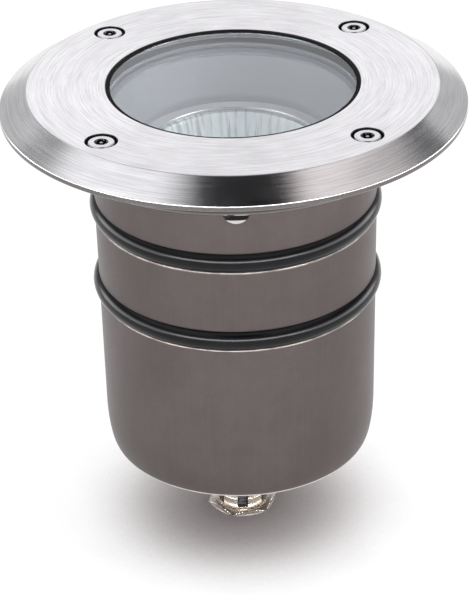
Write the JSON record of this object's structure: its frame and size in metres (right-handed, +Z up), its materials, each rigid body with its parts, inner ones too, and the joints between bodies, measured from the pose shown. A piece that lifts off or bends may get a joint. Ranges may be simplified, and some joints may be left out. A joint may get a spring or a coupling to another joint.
{
  "type": "submersible spotlight",
  "caption": "Round submersible spotlight: a bevelled steel trim ring clamps thick glass over a reflector lamp in a steel can with rubber rings and a cable gland below.",
  "frame": {"origin": "on the object's axis, in the plane of the trim ring's underside, which rests on the surface round the hole", "axes": "+Z up, the way the light shines; -Z into the hole, along the can to the gland; -Y to the side screw, the front in the picture"},
  "size_m": [0.12, 0.12, 0.129],
  "materials": {
    "ring_steel": "brushed in circles",
    "body_steel": "satin, pickled",
    "screw_steel": "satin",
    "black_rubber": "satin",
    "grey_silicone": "matt",
    "clear_glass": "clear",
    "baffle_paint": "matt grey-blue",
    "mirror_coat": "fluted mirror",
    "lamp_glass": "clear",
    "ceramic_white": "matt",
    "pin_metal": "bright",
    "spring_steel": "bright",
    "strap_steel": "zinc plated",
    "lead_silicone": "matt",
    "block_plastic": "matt",
    "terminal_brass": "bright",
    "gland_metal": "nickel plated"
  },
  "bodies": {
    "housing": {"body_flange": "body_steel", "body_can": "body_steel", "glass_gasket_lower": "grey_silicone", "oring_upper": "black_rubber", "oring_lower": "black_rubber", "side_screw_washer": "grey_silicone", "side_weld_nut": "strap_steel", "baffle": "baffle_paint", "lamp_holder": "ceramic_white", "holder_bracket": "strap_steel", "bracket_screws": "strap_steel", "holder_screws": "strap_steel", "lead_wires": "lead_silicone", "terminal_plate": "strap_steel", "terminal_block": "block_plastic", "terminal_screws": "terminal_brass", "terminal_fixing_screw": "strap_steel", "gland_body": "gland_metal", "gland_washer": "black_rubber", "gland_locknut": "gland_metal", "gland_seal": "black_rubber"},
    "trim": {"trim_ring": "ring_steel", "screw_seals": "grey_silicone", "glass_gasket_upper": "black_rubber", "front_glass": "clear_glass"},
    "screw_front_left": {"trim_screw_front_left": "screw_steel"},
    "screw_front_right": {"trim_screw_front_right": "screw_steel"},
    "screw_rear_left": {"trim_screw_rear_left": "screw_steel"},
    "screw_rear_right": {"trim_screw_rear_right": "screw_steel"},
    "side_plug": {"side_screw": "screw_steel"},
    "lamp": {"lamp_reflector": "mirror_coat", "lamp_cover_glass": "lamp_glass", "lamp_capsule": "lamp_glass", "lamp_base": "ceramic_white", "lamp_pins": "pin_metal", "lamp_clip_ring": "spring_steel"},
    "gland_follower": {"gland_thrust_ring": "spring_steel"},
    "gland_cap": {"gland_nut": "gland_metal"}
  },
  "joints": [
    {"name": "trim_lift", "type": "slide", "parent": "housing", "child": "trim", "axis": [0, 0, 1], "range_m": [0, 0.06]},
    {"name": "front_left_screw_turn", "type": "hinge", "parent": "trim", "child": "screw_front_left", "pos_m": [-0.03253, -0.03253, 0.0024], "axis": [0, 0, 1], "continuous": true},
    {"name": "front_right_screw_turn", "type": "hinge", "parent": "trim", "child": "screw_front_right", "pos_m": [0.03253, -0.03253, 0.0024], "axis": [0, 0, 1], "continuous": true},
    {"name": "rear_left_screw_turn", "type": "hinge", "parent": "trim", "child": "screw_rear_left", "pos_m": [-0.03253, 0.03253, 0.0024], "axis": [0, 0, 1], "continuous": true},
    {"name": "rear_right_screw_turn", "type": "hinge", "parent": "trim", "child": "screw_rear_right", "pos_m": [0.03253, 0.03253, 0.0024], "axis": [0, 0, 1], "continuous": true},
    {"name": "side_screw_turn", "type": "hinge", "parent": "housing", "child": "side_plug", "pos_m": [0, -0.0377, -0.0111], "axis": [0, -1, 0], "continuous": true},
    {"name": "lamp_pull", "type": "slide", "parent": "housing", "child": "lamp", "axis": [0, 0, 1], "range_m": [0, 0.008]},
    {"name": "gland_follow", "type": "slide", "parent": "housing", "child": "gland_follower", "axis": [0, 0, -1], "range_m": [0, 0.0023]},
    {"name": "gland_nut_turn", "type": "hinge", "parent": "gland_follower", "child": "gland_cap", "pos_m": [0, 0, -0.121], "axis": [0, 0, -1], "range_deg": [0, 540]}
  ],
  "couplings": [
    {"joint": "gland_follow", "follows": "gland_nut_turn", "m_per_rad": 0.00023873}
  ]
}
